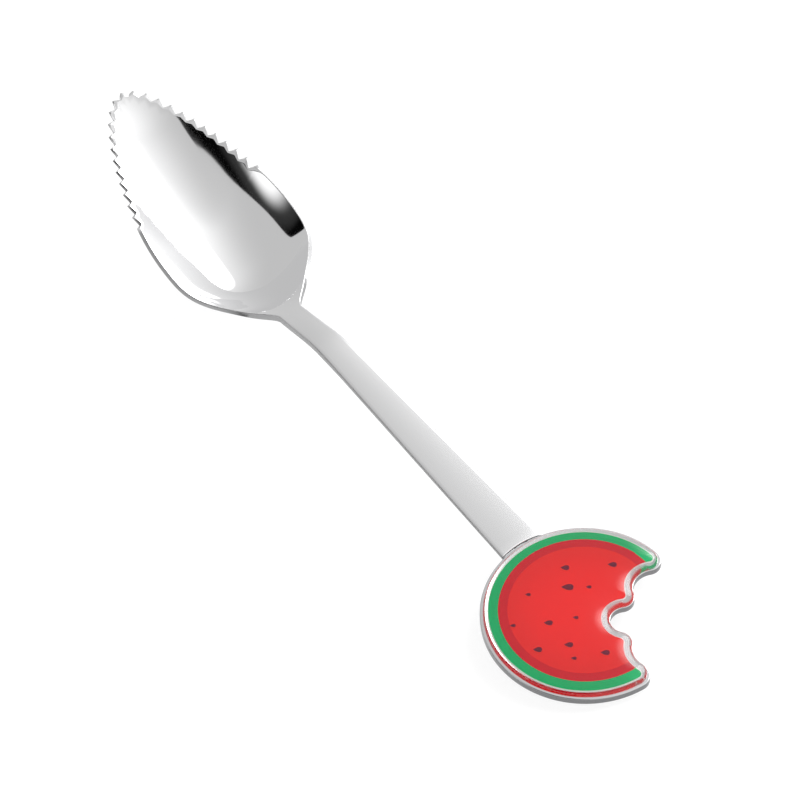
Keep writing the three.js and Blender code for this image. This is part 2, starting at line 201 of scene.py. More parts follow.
# %% A finish
class Finish(Tree):
    """A material with one Principled shader."""

    def __init__(self, name, **surface):
        self.material = bpy.data.materials.new(name)
        super().__init__(self.material)
        self.shader = self.nodes["Principled BSDF"]
        self.surface(**surface)

    def surface(self, **values):
        for key, value in values.items():
            self.feed(self.shader.inputs[key.replace("_", " ")], value)

    def place(self, *stretch):
        """Where a point is, in millimetres along the table's axes, each times a stretch."""
        metres = self.node("ShaderNodeTexCoord", output="Object")
        return metres * tuple(s / MM for s in stretch or (1, 1, 1))

    def noise(self, place, scale, detail=2.0):
        return self.node("ShaderNodeTexNoise", {"Vector": place, "Scale": scale, "Detail": detail})

    def painted(self, name):
        """A value that the mesh carries at its points."""
        return self.node("ShaderNodeAttribute", output="Fac", attribute_name=name)

    def bump(self, height, strength, distance):
        self.surface(Normal=self.node(
            "ShaderNodeBump", {"Height": height, "Strength": strength, "Distance": distance},
        ))


def report(*finishes):
    for finish in finishes:
        print(finish.material.name, "has", len(finish.nodes), "nodes")


# %% [markdown]
# ## Steel
# The whole spoon is one steel blank. The bowl is polished like a mirror and the handle is left satin, with
# a fine grain drawn along it. The blanked edge all round is duller, and it is painted darker as painted shade
# for the darker surroundings its walls reflect. A band of the same painted shade runs along the rim near the
# tip. Three materials would meet at hard lines that a buffing wheel never leaves. So it is one material, and
# the mesh carries two painted values, satin and the dull edge with its painted shade, that say how each
# point is finished and shaded.

# %% Spoon steel
GRAIN = (0.08, 6, 6)
GRAIN_STRENGTH, GRAIN_DEPTH = 0.12, 0.00002
HAZE_SCALE = 0.35
FINE_DETAIL = 3.0
BRIGHT_STEEL = (0.955, 0.955, 0.96, 1)
# Darker steel of the edge: partly the duller blanked edge, partly painted shade for what the walls reflect.
EDGE_STEEL_AND_SHADE = (0.42, 0.42, 0.425, 1)
MIRROR_ROUGHNESS, HAZE_ROUGHNESS = 0.035, 0.03
SATIN_ROUGHNESS, GRAIN_ROUGHNESS = 0.15, 0.07
EDGE_ROUGHNESS = 0.48
# How much of the duller, painted-shade steel the teeth's walls take.
TOOTH_EDGE_AND_SHADE = 0.6

spoon_steel = Finish("spoon steel", Metallic=1.0)
satin = spoon_steel.painted("satin")
# This painted value mixes in the darker steel: a dull edge, plus painted shade on the walls and near the tip.
dull_edge_and_shade = spoon_steel.painted("dull_edge_and_shade")
grain = spoon_steel.noise(spoon_steel.place(*GRAIN), 1.0, FINE_DETAIL)
haze = spoon_steel.noise(spoon_steel.place(), HAZE_SCALE, FINE_DETAIL)
face_roughness = spoon_steel.blend(
    satin, MIRROR_ROUGHNESS + HAZE_ROUGHNESS * haze, SATIN_ROUGHNESS + GRAIN_ROUGHNESS * grain,
)
spoon_steel.surface(
    Roughness=spoon_steel.blend(dull_edge_and_shade.step(0.0, TOOTH_EDGE_AND_SHADE), face_roughness, EDGE_ROUGHNESS),
    Base_Color=spoon_steel.tint(dull_edge_and_shade, BRIGHT_STEEL, EDGE_STEEL_AND_SHADE),
)
spoon_steel.bump(satin * grain, GRAIN_STRENGTH, GRAIN_DEPTH)
report(spoon_steel)

# %% [markdown]
# ## Plate, inks and resin
# The plate is plated and softly brushed, and its cut wall is duller, and painted darker as painted shade for
# what the wall reflects. The resin could be faked with a clear coat over the inks, but real resin bends the
# light at its steep edge and shows the print there twice, so it is a piece of its own that light passes
# through, with the faint swell of a poured surface. The bond under the plate is a dull grey paste.

# %% Plate metal
PLATED = (0.74, 0.74, 0.75, 1)
# The darker cut wall is partly a duller cut, partly painted shade for what the wall reflects.
CUT_WALL_AND_SHADE = (0.22, 0.22, 0.225, 1)
BRUSHING_SCALE = 1.5
PLATE_ROUGHNESS, BRUSHING_ROUGHNESS, WALL_ROUGHNESS = 0.1, 0.06, 0.15

plate_metal = Finish("plate metal", Metallic=1.0)
dull_wall_and_shade = plate_metal.painted("dull_edge_and_shade")
brushing = plate_metal.noise(plate_metal.place(), BRUSHING_SCALE)
plate_metal.surface(
    Base_Color=plate_metal.tint(dull_wall_and_shade, PLATED, CUT_WALL_AND_SHADE),
    Roughness=PLATE_ROUGHNESS + BRUSHING_ROUGHNESS * brushing + WALL_ROUGHNESS * dull_wall_and_shade,
)
report(plate_metal)

# %% Clear resin
RESIN_IOR = 1.54
SWELL_SCALE = 0.12
SWELL_STRENGTH, SWELL_DEPTH = 0.05, 0.0002
RESIN_ROUGHNESS, SWELL_ROUGHNESS = 0.01, 0.02

clear_resin = Finish("clear resin", Base_Color=(1, 1, 1, 1), IOR=RESIN_IOR, Transmission_Weight=1.0)
swell = clear_resin.noise(clear_resin.place(), SWELL_SCALE, 0.0)
clear_resin.surface(Roughness=RESIN_ROUGHNESS + SWELL_ROUGHNESS * swell)
clear_resin.bump(swell, SWELL_STRENGTH, SWELL_DEPTH)
report(clear_resin)

# %% Bond
BOND_DARK = (0.3, 0.31, 0.31, 1)
BOND_PALE = (0.42, 0.43, 0.43, 1)
BOND_GRAIN_SCALE = 3.0
BOND_STRENGTH, BOND_DEPTH = 0.3, 0.0001
BOND_ROUGHNESS, BOND_GRAIN_ROUGHNESS = 0.5, 0.2

bond = Finish("bond")
bond_grain = bond.noise(bond.place(), BOND_GRAIN_SCALE)
bond.surface(
    Base_Color=bond.tint(bond_grain, BOND_DARK, BOND_PALE),
    Roughness=BOND_ROUGHNESS + BOND_GRAIN_ROUGHNESS * bond_grain,
)
bond.bump(bond_grain, BOND_STRENGTH, BOND_DEPTH)
report(bond)

# %% [markdown]
# ## Inks
# The print could be a picture laid on the film, but a picture blurs up close. Each ink is a thin piece with
# a plain colour instead. The inks are matt under the resin, with the slight mottle of screen printing.

# %% Film and inks
MOTTLE = 0.97
MOTTLE_SCALE = 2.2
INK_ROUGHNESS, MOTTLE_ROUGHNESS = 0.42, 0.08
INK_GLOSS = 0.1


def ink(name, colour):
    made = Finish(name)
    print_grain = made.noise(made.place(), MOTTLE_SCALE, FINE_DETAIL)
    darker = tuple(c * MOTTLE for c in colour) + (1,)
    made.surface(
        Base_Color=made.tint(print_grain, darker, colour + (1,)),
        Roughness=INK_ROUGHNESS + MOTTLE_ROUGHNESS * print_grain,
        Specular_IOR_Level=INK_GLOSS,
    )
    return made


label_white = ink("label white", (0.92, 0.93, 0.92))
ink_green = ink("green ink", (0.0, 0.62, 0.2))
ink_dark_red = ink("dark red ink", (0.76, 0.0, 0.02))
ink_red = ink("red ink", (1.0, 0.015, 0.015))
ink_seed = ink("seed ink", (0.16, 0.0, 0.04))
report(label_white, ink_green, ink_dark_red, ink_red, ink_seed)

# %% [markdown]
# ## The spoon's plan
# The outline of the blank could be drawn with curve handles, but those are hard to compare with a spoon on
# the bench. Here the bowl's half width is given at even steps from the tip. It is the half width squared
# that follows a smooth curve through them, because a circle is a plain parabola in those terms, so the tip
# and the back come out round without a seam. The handle tapers towards the neck.

# %% Sizes of the spoon, in millimetres
DISC_RADIUS = 15.85
OVERALL_LENGTH = 149
BOWL_LENGTH = 50
BOWL_WIDTH = 26.3
RIM_SHEET = 0.7
RIM_DRAWN_IN = 0.5
BOWL_DEPTH = 7.2
BOWL_THICKNESS = 0.95
BELLY_FLAT = 2.2
NECK_LENGTH = 13
NECK_THICKNESS = 1.55
HANDLE_THICKNESS = (1.25, 0.9)
HANDLE_WIDTH = (4.2, 7.55)
HANDLE_FALL = math.tan(math.radians(2.3))
NECK_FALL = math.tan(math.radians(16.6))
BOWL_RISE = math.tan(math.radians(13.95))
TIP_LIFT = 0.7
TIP_LIFT_LENGTH = 9
NECK_ROUND = 1.2
THROAT_ROUND = 1.5
THROAT_SET_BACK = 1.4
SHOULDER_GAP = 0.45
TAB_LOW = 0.05
TAB_THICKNESS = 0.5
TAB_END = -4.85
TAB_CORNER = 1.6
PLAN_SHARES = np.array([-0.2, 0, 0.2, 0.395, 0.588, 0.755, 0.905, 1, 1.005, 0.93, 0.405, -0.035, 0.005, 0])

TIP = DISC_RADIUS - OVERALL_LENGTH
NECK = TIP + BOWL_LENGTH
THROAT = NECK - THROAT_SET_BACK
NECK_BEND = NECK + NECK_LENGTH
SHOULDER_RADIUS = DISC_RADIUS + SHOULDER_GAP
SHOULDER = -SHOULDER_RADIUS
HANDLE_TOP = TAB_LOW + HANDLE_THICKNESS[1]
TAB_TOP = TAB_LOW + TAB_THICKNESS
PLAN_STEP = BOWL_LENGTH / (len(PLAN_SHARES) - 4)
DISHING = BOWL_DEPTH / (BOWL_WIDTH / 2 - RIM_DRAWN_IN) ** 2
INNER_SHARE = (1 - 2 * RIM_DRAWN_IN / BOWL_WIDTH) ** 2
print("tip at", TIP, "mm, neck at", NECK, "mm, end of the handle at", SHOULDER, "mm")


# %% Smooth steps
def rise(x, low, high):
    """From 0 at one value to 1 at another, with no kink at either."""
    t = np.clip((np.asarray(x, dtype=float) - low) / (high - low), 0, 1)
    return t ** 3 * (t * (6 * t - 15) + 10)


def ramp(distance, softness):
    """0 below 0 and the distance itself above it, with a soft bend between."""
    return softness * np.logaddexp(0, np.asarray(distance, dtype=float) / softness)


def lerp(ends, share):
    return ends[0] + (ends[1] - ends[0]) * share


print("halfway, a smooth step is", float(rise(0.5, 0, 1)))


# %% Half width of the blank
def plan_share(place):
    """The cubic spline through the shares."""
    first = np.clip(np.floor(place).astype(int), 0, len(PLAN_SHARES) - 4)
    t = place - first
    weights = ((1 - t) ** 3, 3 * t ** 3 - 6 * t ** 2 + 4, -3 * t ** 3 + 3 * t ** 2 + 3 * t + 1, t ** 3)
    return sum(weight * PLAN_SHARES[first + k] for k, weight in enumerate(weights)) / 6


def half_width_squared(x):
    x = np.asarray(x, dtype=float)
    bowl = np.maximum(plan_share((x - TIP) / PLAN_STEP), 0) * (BOWL_WIDTH / 2) ** 2
    taper = lerp(HANDLE_WIDTH, np.clip((x - THROAT) / (SHOULDER - THROAT), 0, 1)) / 2
    past = np.maximum(x - (TAB_END - TAB_CORNER), 0)
    handle = taper - TAB_CORNER + np.sqrt(np.maximum(TAB_CORNER ** 2 - past ** 2, 0))
    return bowl + handle ** 2 * rise(x, THROAT - PLAN_STEP, THROAT + PLAN_STEP / 2)


def half_width(x):
    return np.sqrt(half_width_squared(x))


print("bowl width", round(2 * float(half_width(np.linspace(TIP, NECK, 500)).max()), 2), "mm")

# %% [markdown]
# ## The spoon's profile
# The rim falls from the disc, bends down at the neck and rises again along the bowl. Across it, the bowl is
# a parabola that reaches the rim at both sides. A sculpted bowl would show dents in its mirror finish, and
# a parabola has none. The sheet is thickest at the neck, where a spoon bends, and thinner at the bowl's rim.
# It is blanked flat and then pressed, so its cut edge leans outwards there. The handle's top is very
# slightly crowned.

# %% Heights of the two faces
BELLY_SOFTNESS = 1.2
HANDLE_CROWN = 0.25
SLOPE_STEP = 0.01


def line_height(x):
    tip = TIP_LIFT * (1 - rise(x, TIP, TIP + TIP_LIFT_LENGTH))
    neck = NECK_FALL * ramp(NECK_BEND - x, NECK_ROUND)
    bowl = (NECK_FALL + BOWL_RISE) * ramp(THROAT - x, THROAT_ROUND)
    return HANDLE_TOP - HANDLE_FALL * ramp(SHOULDER - x, NECK_ROUND) - neck + bowl + tip


def dished(x):
    return 1 - rise(x, THROAT - PLAN_STEP, THROAT + PLAN_STEP)


def dished_height(x, y_squared):
    inner = half_width_squared(x) * lerp((1, INNER_SHARE), dished(x))
    return line_height(x) - DISHING * dished(x) * (inner - y_squared)


def sheet_thickness(x):
    bowl = lerp((BOWL_THICKNESS, NECK_THICKNESS), rise(x, THROAT - PLAN_STEP, THROAT + PLAN_STEP))
    along = np.clip((x - NECK_BEND) / (SHOULDER - NECK_BEND), 0, 1)
    return lerp((bowl, lerp(HANDLE_THICKNESS, along)), rise(x, NECK_BEND, NECK_BEND + 2 * PLAN_STEP))


def outwards(x, y):
    """Share of the way from the middle line to the edge, squared."""
    return np.clip(y ** 2 / np.maximum(half_width_squared(x), WELD), 0, 1)


def top_height(x, y):
    return dished_height(x, y ** 2) - HANDLE_CROWN * rise(x, THROAT, NECK_BEND) * outwards(x, y)


def low_height(x, y):
    flat = np.minimum(BELLY_FLAT, half_width(x)) ** 2
    return dished_height(x, flat + ramp(y ** 2 - flat, BELLY_SOFTNESS)) - sheet_thickness(x)


def sheet_lean(x, y):
    """Along and across, the slope of the bowl's top face."""
    across = 2 * DISHING * dished(x) * y
    along = (top_height(x + SLOPE_STEP, y) - top_height(x - SLOPE_STEP, y)) / (2 * SLOPE_STEP)
    return along * dished(x), across


print("bowl", round(float(line_height(NECK) - top_height(NECK - BOWL_LENGTH / 3, 0)), 2), "mm below the neck")

# %% [markdown]
# ## Teeth
# The teeth are cut into the rim at an even pitch measured along the edge. They could be cut out of a
# finished bowl with a boolean, which leaves slivers in a mirror. Here a triangle wave draws the rim inwards
# before there is any mesh, so the faces run cleanly up to each tooth. Its corners are a little rounded, as
# tumbling leaves them.

# %% Length along the rim
TOOTH_PITCH = 2.35
TEETH_PER_SIDE = 12
TRACK_POINTS = 6001

track_x = TIP + BOWL_LENGTH * np.linspace(0, 1, TRACK_POINTS) ** 2
track_y = half_width(track_x) * (track_x > TIP)
track_length = np.concatenate([[0], np.cumsum(np.hypot(np.diff(track_x), np.diff(track_y)))])
toothed_length = TEETH_PER_SIDE * TOOTH_PITCH
whole_length = track_length[-1]
print("rim", round(float(whole_length), 1), "mm a side, of which toothed", round(toothed_length, 1), "mm")

# %% The rim, tooth by tooth
TOOTH_DEPTH = 0.85
TOOTH_SOFTNESS = 0.045
STEPS_PER_TOOTH = 14
RIM_STEP = 0.6
FAN_SHARE = 0.55
FAN_END = 4


def drawn_in(length):
    """How far the teeth draw the rim in at a length from the tip."""
    phase = np.abs(2 * ((length / TOOTH_PITCH) % 1) - 1)
    wave = 1 - np.sqrt(phase ** 2 + TOOTH_SOFTNESS ** 2) + TOOTH_SOFTNESS
    softened = np.sqrt(np.maximum(wave, 0) ** 2 + TOOTH_SOFTNESS ** 2) - TOOTH_SOFTNESS
    return np.where(length < toothed_length, softened * TOOTH_DEPTH, 0)


lengths = np.concatenate([
    np.linspace(0, toothed_length, TEETH_PER_SIDE * STEPS_PER_TOOTH, endpoint=False),
    np.linspace(toothed_length, whole_length, round((whole_length - toothed_length) / RIM_STEP)),
])
rim_x = np.interp(lengths, track_length, track_x)
rim_y = np.interp(lengths, track_length, track_y)
slope = (half_width_squared(rim_x + SLOPE_STEP) - half_width_squared(rim_x)) / SLOPE_STEP
inward = np.stack([slope, -2 * rim_y], axis=1)
inward /= np.linalg.norm(inward, axis=1, keepdims=True)
fan = lerp((1, FAN_SHARE), rise(rim_x, TIP + BOWL_LENGTH / 2, THROAT))
fan = fan * (1 - rise(rim_x, THROAT - FAN_END, NECK))
spine_x = rim_x + fan * slope / 2
cut = drawn_in(lengths)
edge_x = rim_x + inward[:, 0] * cut
edge_y = rim_y + inward[:, 1] * cut
print(len(edge_x), "ribs along the bowl; deepest cut", round(float(cut.max()), 2), "mm")

# %% Neck, handle and tab
NECK_STEP = 0.7
HANDLE_STEP = 1.6
END_ROUND = 0.3
END_STEPS = 7
TAB_STEPS = 8

handle_x = np.concatenate([
    np.arange(NECK + NECK_STEP, NECK_BEND + PLAN_STEP, NECK_STEP),
    np.linspace(NECK_BEND + PLAN_STEP, SHOULDER - END_ROUND, round((SHOULDER - NECK_BEND) / HANDLE_STEP)),
    SHOULDER - END_ROUND + END_ROUND * np.sin(np.linspace(0, math.pi / 2, END_STEPS)[1:]),
])
tab_x = TAB_END - TAB_CORNER + TAB_CORNER * np.sin(np.linspace(0, math.pi / 2, TAB_STEPS))
straight_x = np.concatenate([handle_x, [SHOULDER], tab_x])
edge_x = np.concatenate([edge_x, straight_x])
edge_y = np.concatenate([edge_y, half_width(straight_x)])
spine_x = np.concatenate([spine_x, straight_x])
on_tab = np.arange(len(edge_x)) >= len(edge_x) - len(tab_x) - 1
print(len(edge_x), "ribs; least step along the middle", round(float(np.diff(spine_x).min()), 4))

# %% [markdown]
# ## The spoon's skin
# The skin could be a coarse cage with subdivision, but that would melt the teeth. Instead it is built from
# ribs. Each rib is a closed loop: across the top face, over the rim, back under the belly and up the other
# side. The bare rim and the handle's edge are rounded over, and the teeth are ground with a narrow bevel.
# Near the disc the ribs bow to follow it, and there the sheet is coined thin to pass under it.

# %% How the rim is finished
RIM_ROUND = (0.24, 0.24)
HANDLE_ROUND = (0.6, 0.3)
GROUND_BAND = 0.75
GROUND_FALL = 0.6
GROUND_SLOPE = 0.4
CORNER_STEPS = 6

corner = np.linspace(0, math.pi / 2, CORNER_STEPS + 1)
bevel_steps = np.linspace(0, 1, CORNER_STEPS + 1)[1:]
toothed = 1 - rise(lengths, toothed_length - TOOTH_PITCH / 2, toothed_length + TOOTH_PITCH)
toothed = np.concatenate([toothed, np.zeros(len(straight_x))])
on_handle = rise(edge_x, NECK, NECK_BEND)
ground = np.concatenate([GROUND_BAND - GROUND_FALL * cut, np.zeros(len(straight_x))])
round_width, round_drop = (
    lerp((lerp((plain, handle), on_handle), bevel), toothed)
    for plain, handle, bevel in zip(RIM_ROUND, HANDLE_ROUND, (ground, GROUND_SLOPE * ground))
)
print("widest bevel", round(float(round_width.max()), 2), "mm")

# %% The reach of a rib
ACROSS = 22
SUPPORT = 1.2
LEAST_REACH = 0.0001
MOST_LEAN = 0.5


def rib_reach(i):
    """Half a rib from its middle to its rim, and the places of its points as shares of that."""
    reach = np.array([edge_x[i] - spine_x[i], edge_y[i]])
    whole = max(float(np.hypot(*reach)), LEAST_REACH)
    slopes = np.array(sheet_lean(edge_x[i], edge_y[i]))
    lean_out = RIM_SHEET * float(slopes @ reach) / whole / math.sqrt(1 + float(slopes @ slopes))
    reach = reach * (1 - min(max(lean_out, 0) / whole, MOST_LEAN))
    width = min(round_width[i], whole / 2) / whole
    inner = np.append(np.linspace(0, 1 - SUPPORT * width, ACROSS), 1 - width)
    outer = 1 - width * (1 - lerp((np.sin(corner[1:]), bevel_steps), toothed[i]))
    return reach, whole, np.concatenate([inner, outer])


print(len(rib_reach(0)[2]), "points from the middle of a rib to its rim")

# %% One rib
LOW_ROUND_SHARE = 0.5
SHOULDER_BLEND = 8


def rib_loop(i):
    """Points round one rib, from the middle of the top face to the left rim and on round."""
    reach, whole, share = rib_reach(i)
    fall = lerp((1 - np.cos(corner[1:]), bevel_steps), toothed[i])
    drop = np.concatenate([np.zeros(ACROSS + 1), round_drop[i] * fall])
    x = spine_x[i] + reach[0] * share
    y = reach[1] * share
    bow = SHOULDER_RADIUS - np.sqrt(SHOULDER_RADIUS ** 2 - np.minimum(np.abs(y), SHOULDER_RADIUS) ** 2)
    x = x + bow * rise(edge_x[i], SHOULDER - SHOULDER_BLEND, SHOULDER) * (edge_x[i] <= SHOULDER + WELD)
    x = x + bow * bool(on_tab[i] and edge_x[i] <= SHOULDER + WELD)
    past = max(edge_x[i] - (SHOULDER - END_ROUND), 0)
    end_drop = 0 if on_tab[i] else END_ROUND - math.sqrt(max(END_ROUND ** 2 - past ** 2, 0))
    top = np.where(on_tab[i], TAB_TOP, top_height(x, y) - end_drop) - drop
    thickness = lerp((1, RIM_SHEET / BOWL_THICKNESS), share ** 4 * float(dished(edge_x[i])))
    along, across = sheet_lean(x, y)
    sheet = sheet_thickness(x) * thickness
    stretch = np.sqrt(1 + along ** 2 + across ** 2)
    under = low_height(x, y) + sheet_thickness(x) - sheet / stretch
    low = under + drop * LOW_ROUND_SHARE
    leaning = sheet / stretch
    upper = np.stack([x, y, np.maximum(top, (top + low) / 2)], axis=1)
    lower = np.stack([x + along * leaning, y + across * leaning, np.minimum(low, (top + low) / 2)], axis=1)
    mirror = np.array([1, -1, 1])
    return np.concatenate([upper, lower[::-1], lower[1:] * mirror, upper[:0:-1] * mirror])


loops = [rib_loop(i) for i in range(len(edge_x))]
size = len(loops[0])
print(len(loops), "ribs of", size, "points")

# %% Faces between the ribs and over the end of the tab
faces = loops_to_faces(len(loops), size)
last = (len(loops) - 1) * size
row = ACROSS + CORNER_STEPS
end_faces = [
    (last + k, last + k + 1, last + 2 * row - k, last + 2 * row + 1 - k) for k in range(row)
] + [
    (last + (size - k) % size, last + 2 * row + 1 + k, last + 2 * row + 2 + k, last + size - k - 1)
    for k in range(row)
]
points = np.concatenate(loops)
print(len(faces), "faces between ribs,", len(end_faces), "at the end")

# %% Paint and build the spoon
# Painted shade near the tip: a share of the darker steel on the teeth's bevel and in a band in from the rim,
# fading out along the rim.
RIM_SHADE_SHARE = 0.2
TIP_SHADE_BAND = (0.5, 1.8)
TIP_SHADE_FADE = (5, 12)
SATIN_START = NECK - 3
SATIN_END = NECK + 6

on_wall = np.concatenate([np.zeros(ACROSS + 1), rise(corner[1:], corner[1], corner[-1])])
on_corner = np.arange(len(on_wall)) > ACROSS


def rib_edge_and_shade(i):
    """How much dull edge and painted shade each point of a rib has."""
    whole, share = rib_reach(i)[1:]
    from_rim = whole * (1 - share)
    tip = 1 - rise(lengths[i], *TIP_SHADE_FADE) if i < len(lengths) else 0
    dull_wall_and_shade = on_wall * lerp((1, TOOTH_EDGE_AND_SHADE), toothed[i])
    top = lerp((on_wall, RIM_SHADE_SHARE * on_corner), toothed[i])
    # A band of painted shade on the top face along the rim near the tip, standing for the grey the rounded
    # teeth reflect.
    top = np.maximum(top, tip * RIM_SHADE_SHARE * (1 - rise(from_rim, *TIP_SHADE_BAND)))
    return np.concatenate([top, dull_wall_and_shade[::-1], dull_wall_and_shade[1:], top[:0:-1]])


edge_and_shade_paint = np.concatenate([rib_edge_and_shade(i) for i in range(len(loops))])
spoon = piece(
    "spoon_fine", points, faces + end_faces, spoon_steel.material, stands_for=["spoon"],
    paint={"satin": rise(points[:, 0], SATIN_START, SATIN_END), "dull_edge_and_shade": edge_and_shade_paint},
)
print("spoon", len(spoon.data.polygons), "faces")

# %% [markdown]
# ## The bitten outline
# The disc is a circle with three scoops bitten out of its side. Three cylinders could be taken from a disc
# with booleans, but the horns between them would be sharp, and each layer above needs the same outline a
# little smaller. So it is worked out as a chain of arcs. Every corner is a small arc that touches the two
# arcs beside it, which leaves no kink, at any inset.

# %% Arcs
def circles_cross(a, radius_a, b, radius_b, side):
    """Where two circles cross, on one side of the line between their centres."""
    apart = b - a
    distance = np.hypot(*apart)
    along = (radius_a ** 2 - radius_b ** 2 + distance ** 2) / (2 * distance)
    aside = side * math.sqrt(max(radius_a ** 2 - along ** 2, 0))
    unit = apart / distance
    return a + unit * along + np.array([-unit[1], unit[0]]) * aside


def bearing(start, end):
    return math.atan2(end[1] - start[1], end[0] - start[0])


def arc(centre, radius, start, end, turn, steps):
    """Points along an arc, all but its last."""
    sweep = ((end - start) * turn) % (2 * math.pi)
    angle = start + turn * sweep * np.arange(steps) / steps
    return np.stack([centre[0] + radius * np.cos(angle), centre[1] + radius * np.sin(angle)], axis=1)


print("last point of a quarter turn", arc((0, 0), 1, 0, math.pi / 2, 1, 90)[-1].round(2))

# %% Outline of the disc
BITE_CENTRES = DISC_RADIUS * np.array([[0.19, 0.714], [0.315, 0.256], [0.747, 0.29]])
BITE_RADII = DISC_RADIUS * np.array([0.219, 0.149, 0.225])
HORN_CORNER = 2.05
LEAST_CORNER = 0.075
OUTER_STEPS = 180
BITE_STEPS = 24
CORNER_ARC_STEPS = 12


def bitten_outline(rim, bite_inset):
    """The disc's outline at a smaller rim, with the bite made larger by an inset."""
    centre = np.zeros(2)
    radii = BITE_RADII + bite_inset
    r = max(HORN_CORNER - bite_inset, LEAST_CORNER)
    upper, middle, lower = BITE_CENTRES
    upper_horn = circles_cross(centre, rim - r, upper, radii[0] + r, 1)
    upper_lobe = circles_cross(upper, radii[0] + r, middle, radii[1] + r, -1)
    lower_lobe = circles_cross(middle, radii[1] + r, lower, radii[2] + r, -1)
    lower_horn = circles_cross(centre, rim - r, lower, radii[2] + r, -1)

    def corner_arc(at, start, end):
        return arc(at, r, start, end, 1, CORNER_ARC_STEPS)

    def scoop(k, start, end):
        bite = BITE_CENTRES[k]
        return arc(bite, radii[k], bearing(bite, start), bearing(bite, end), -1, BITE_STEPS)

    return np.concatenate([
        arc(centre, rim, bearing(centre, upper_horn), bearing(centre, lower_horn), 1, OUTER_STEPS),
        corner_arc(lower_horn, bearing(centre, lower_horn), bearing(lower_horn, lower)),
        scoop(2, lower_horn, lower_lobe),
        corner_arc(lower_lobe, bearing(lower, lower_lobe) + math.pi, bearing(lower_lobe, middle)),
        scoop(1, lower_lobe, upper_lobe),
        corner_arc(upper_lobe, bearing(middle, upper_lobe) + math.pi, bearing(upper_lobe, upper)),
        scoop(0, upper_lobe, upper_horn),
        corner_arc(upper_horn, bearing(upper, upper_horn) + math.pi, bearing(centre, upper_horn)),
    ])


def stack(rings):
    """Points and faces of rings joined upwards, with a flat face at each end."""
    points = np.concatenate([np.column_stack([ring, np.full(len(ring), z)]) for ring, z in rings])
    n = len(rings[0][0])
    ends = [tuple(range(n)), tuple(range((len(rings) - 1) * n, len(rings) * n))]
    return points, loops_to_faces(len(rings), n) + ends


print(len(bitten_outline(DISC_RADIUS, 0)), "points round the disc")

# %% [markdown]
# ## The disc plate
# A metal plate with softened edges and a shallow pocket on its back for the spoon's tab. A bevel modifier
# could soften the edges, but the outline already exists at every inset, so a stack of outlines is simpler.
# The pocket is cut with a boolean, because it runs out through the rounded wall. The colour of the wall is
# painted afterwards, from the height of each point: a duller cut, darkened partly as painted shade.

# %% Build the plate
PLATE_THICKNESS = 1.3
EDGE_BREAK = 0.15


def rounded_wall(low, high, r):
    """Insets and heights up a wall whose two edges are rounded."""
    angles = np.linspace(0, math.pi / 2, CORNER_STEPS + 1)
    lower = [(r * (1 - math.sin(a)), low + r * (1 - math.cos(a))) for a in angles]
    upper = [(r * (1 - math.cos(a)), high - r * (1 - math.sin(a))) for a in angles]
    return lower + upper


plate_rings = [
    (bitten_outline(DISC_RADIUS - inset, inset), z)
    for inset, z in rounded_wall(0, PLATE_THICKNESS, EDGE_BREAK)
]
plate = piece("disc_plate_fine", *stack(plate_rings), plate_metal.material, stands_for=["disc_plate"])
print("plate", len(plate.data.polygons), "faces before the pocket")

# %% Cut the pocket
TAB_CLEARANCE = 0.3
POCKET_TOP = 0.69
OVERRUN = 1
BOX_FACES = [(3, 2, 1, 0), (4, 5, 6, 7), (0, 1, 5, 4), (1, 2, 6, 5), (2, 3, 7, 6), (3, 0, 4, 7)]


def box_points(low, high):
    return [(x, y, z) for z in (low[2], high[2]) for x, y in (
        (low[0], low[1]), (high[0], low[1]), (high[0], high[1]), (low[0], high[1]),
    )]


pocket_half = HANDLE_WIDTH[1] / 2 + TAB_CLEARANCE
pocket_low = (-DISC_RADIUS - OVERRUN, -pocket_half, -OVERRUN)
pocket_high = (TAB_END + TAB_CLEARANCE, pocket_half, POCKET_TOP)
cutter_mesh = bpy.data.meshes.new("pocket")
cutter_mesh.from_pydata(laid(box_points(pocket_low, pocket_high)).tolist(), [], BOX_FACES)
cutter = bpy.data.objects.new("pocket", cutter_mesh)
bpy.context.collection.objects.link(cutter)
cut_step = plate.modifiers.new("pocket", "BOOLEAN")
cut_step.object = cutter
cut_step.solver = "EXACT"
bpy.context.view_layer.update()
pocketed = bpy.data.meshes.new_from_object(plate.evaluated_get(bpy.context.evaluated_depsgraph_get()))
plate.modifiers.clear()
plate.data = pocketed
bpy.data.objects.remove(cutter)
finish_mesh(plate)
print("plate", len(plate.data.polygons), "faces with the pocket")

# %% Paint the wall
up = ((np.array([v.co for v in plate.data.vertices]) / MM - shift) @ lean)[:, 2]
on_side = rise(up, 0, EDGE_BREAK) * (1 - rise(up, PLATE_THICKNESS - EDGE_BREAK, PLATE_THICKNESS))
# The wall's darker paint is partly a duller cut, partly painted shade.
plate.data.attributes.new("dull_edge_and_shade", "FLOAT", "POINT").data.foreach_set("value", on_side.astype(np.float32))
print(int((on_side > 0).sum()), "points on the wall")

# %% [markdown]
# ## The print
# A white film carries three inks: a green rind, a dark red band and the red flesh, all cut back alike from
# the bite. The bands could be three outlines drawn one by one, but where a ring meets the bite they would
# have to match exactly. Instead the whole print is filled with triangles once, and each ink takes the
# triangles in its own ring.

# %% Heights of the layers
LAYER_GAP = 0.02
LABEL_THICKNESS = 0.08
INK_THICKNESS = 0.04
LABEL_LOW = PLATE_THICKNESS + LAYER_GAP
INK_LOW = LABEL_LOW + LABEL_THICKNESS + LAYER_GAP
SEED_LOW = INK_LOW + INK_THICKNESS + LAYER_GAP
print("film at", LABEL_LOW, "mm, ink at", round(INK_LOW, 2), "mm, pips at", round(SEED_LOW, 2), "mm")

